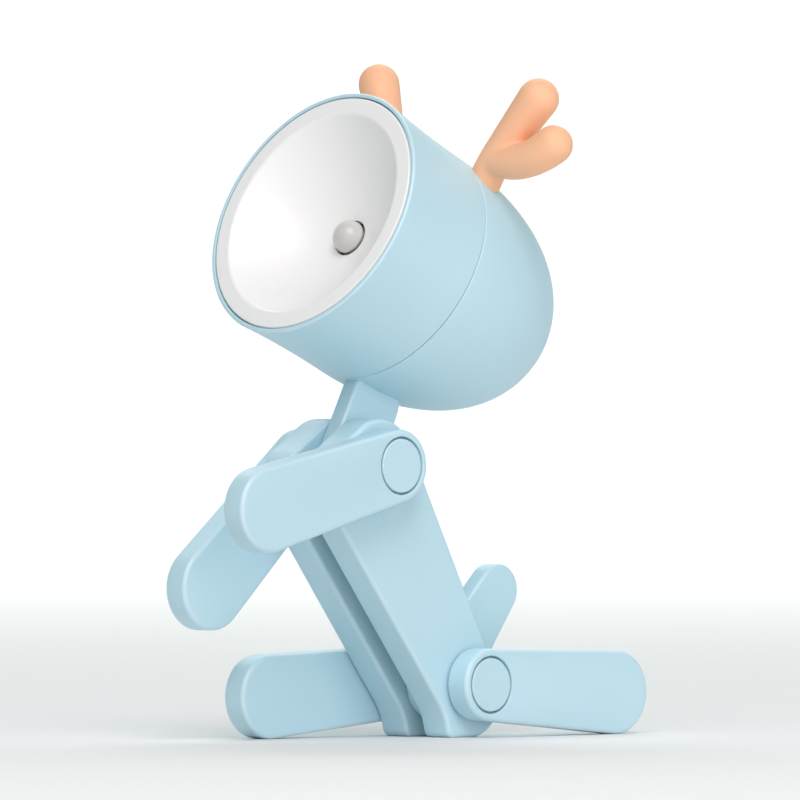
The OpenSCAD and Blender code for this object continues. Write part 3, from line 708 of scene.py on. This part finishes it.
# In millimetres: the middle of the picture, the camera's sensor and the paper's fibres
FRAME_RIGHT = -6.92
FRAME_HEIGHT = 61.7
SENSOR_W = 36.0
FIBRE_MM = 3

VIEW_AZIMUTH = math.radians(-44.6)
COVE_STEPS = 16
PAPER_ROUGHNESS = 0.95
ROOM_STRENGTH = 0.26

view_right = Vector((math.cos(VIEW_AZIMUTH), math.sin(VIEW_AZIMUTH), 0))
view_in = Vector((-math.sin(VIEW_AZIMUTH), math.cos(VIEW_AZIMUTH), 0))
aim = FRAME_RIGHT * MM * view_right + Vector((0, 0, FRAME_HEIGHT * MM))

# Matt white studio paper: bright, even and without gloss.
paper = bpy.data.materials.new("white_studio_paper")
paper.use_nodes = True
paper_tree = paper.node_tree
fibre = add(paper_tree, "ShaderNodeTexNoise", {"Scale": per_metre(FIBRE_MM), "Detail": FINE_DETAIL})
sheet_tint = add(paper_tree, "ShaderNodeMix", {
    0: fibre.outputs["Fac"], 6: linear("ECECEC"), 7: linear("EEEEEE")}, data_type="RGBA")
paper_shader = paper_tree.nodes["Principled BSDF"]
paper_tree.links.new(sheet_tint.outputs[2], paper_shader.inputs["Base Color"])
paper_shader.inputs["Roughness"].default_value = PAPER_ROUGHNESS

# Floor that curves up into a wall behind the lamp
path = [(-FLOOR_HALF, 0.0)]
for k in range(COVE_STEPS + 1):
    a = math.pi / 2 * k / COVE_STEPS
    path.append((FLOOR_HALF - COVE_R + COVE_R * math.sin(a), COVE_R - COVE_R * math.cos(a)))
path.append((FLOOR_HALF, 2 * FLOOR_HALF))
bm = bmesh.new()
rows = []
for depth, height in path:
    rows.append([bm.verts.new(depth * view_in + s * 2 * FLOOR_HALF * view_right + Vector((0, 0, height)))
                 for s in (-1, 1)])
for a, b in zip(rows, rows[1:]):
    bm.faces.new((a[0], a[1], b[1], b[0])).smooth = True
floor_mesh = bpy.data.meshes.new("studio_sweep")
bm.to_mesh(floor_mesh)
bm.free()
floor_mesh.materials.append(paper)
floor = bpy.data.objects.new("studio_sweep", floor_mesh)
bpy.context.scene.collection.objects.link(floor)


def soft_box(name, colour, right, height, away, size, power, beyond=0.0):
    """A square soft light that faces a point this far beyond the lamp; right and away are seen from the
    camera, in metres."""
    light = bpy.data.lights.new(name, "AREA")
    light.color = linear(colour)[:3]
    light.shape = "SQUARE"
    light.size = size
    light.energy = power
    obj = bpy.data.objects.new(name, light)
    obj.location = aim + right * view_right + away * view_in + Vector((0, 0, height))
    obj.rotation_euler = (aim + beyond * view_in - obj.location).to_track_quat("-Z", "Y").to_euler()
    obj.visible_camera = False
    bpy.context.scene.collection.objects.link(obj)


# The key light is a little rosy and the room a little teal, so the shade on the plastic turns teal
ROSY = "FFF5F8"
TEAL = "E2FFF9"
# Name, colour, right, height, away, size, power in watts, and beyond for the panel that lights the floor
LIGHTS = [
    ("right_low_softbox", ROSY, 1.12, 0.22, -1.12, 1.0, 6.9),
    ("front_softbox", ROSY, 0.0, 0.33, -1.57, 1.0, 3.4),
    ("front_high_softbox", ROSY, 0.0, 1.19, -1.07, 1.0, 15.4),
    ("backdrop_panel", WHITE, 0.0, 1.9, 2.3, 2.4, 54.0, 2.5),
]
for light in LIGHTS:
    soft_box(*light)

world = bpy.data.worlds.new("white_room")
world.use_nodes = True
room = world.node_tree.nodes["Background"]
room.inputs["Color"].default_value = linear(TEAL)
room.inputs["Strength"].default_value = ROOM_STRENGTH
scene = bpy.context.scene
scene.world = world
scene.view_settings.view_transform = "Standard"

camera = bpy.data.cameras.new("photo_camera")
camera.sensor_width = SENSOR_W
camera.lens = SENSOR_W * CAMERA_AWAY / FRAME_W
camera.clip_end = VIEW_DEPTH
camera_obj = bpy.data.objects.new("photo_camera", camera)
camera_obj.location = aim - CAMERA_AWAY * view_in
camera_obj.rotation_euler = view_in.to_track_quat("-Z", "Y").to_euler()
scene.collection.objects.link(camera_obj)
scene.camera = camera_obj
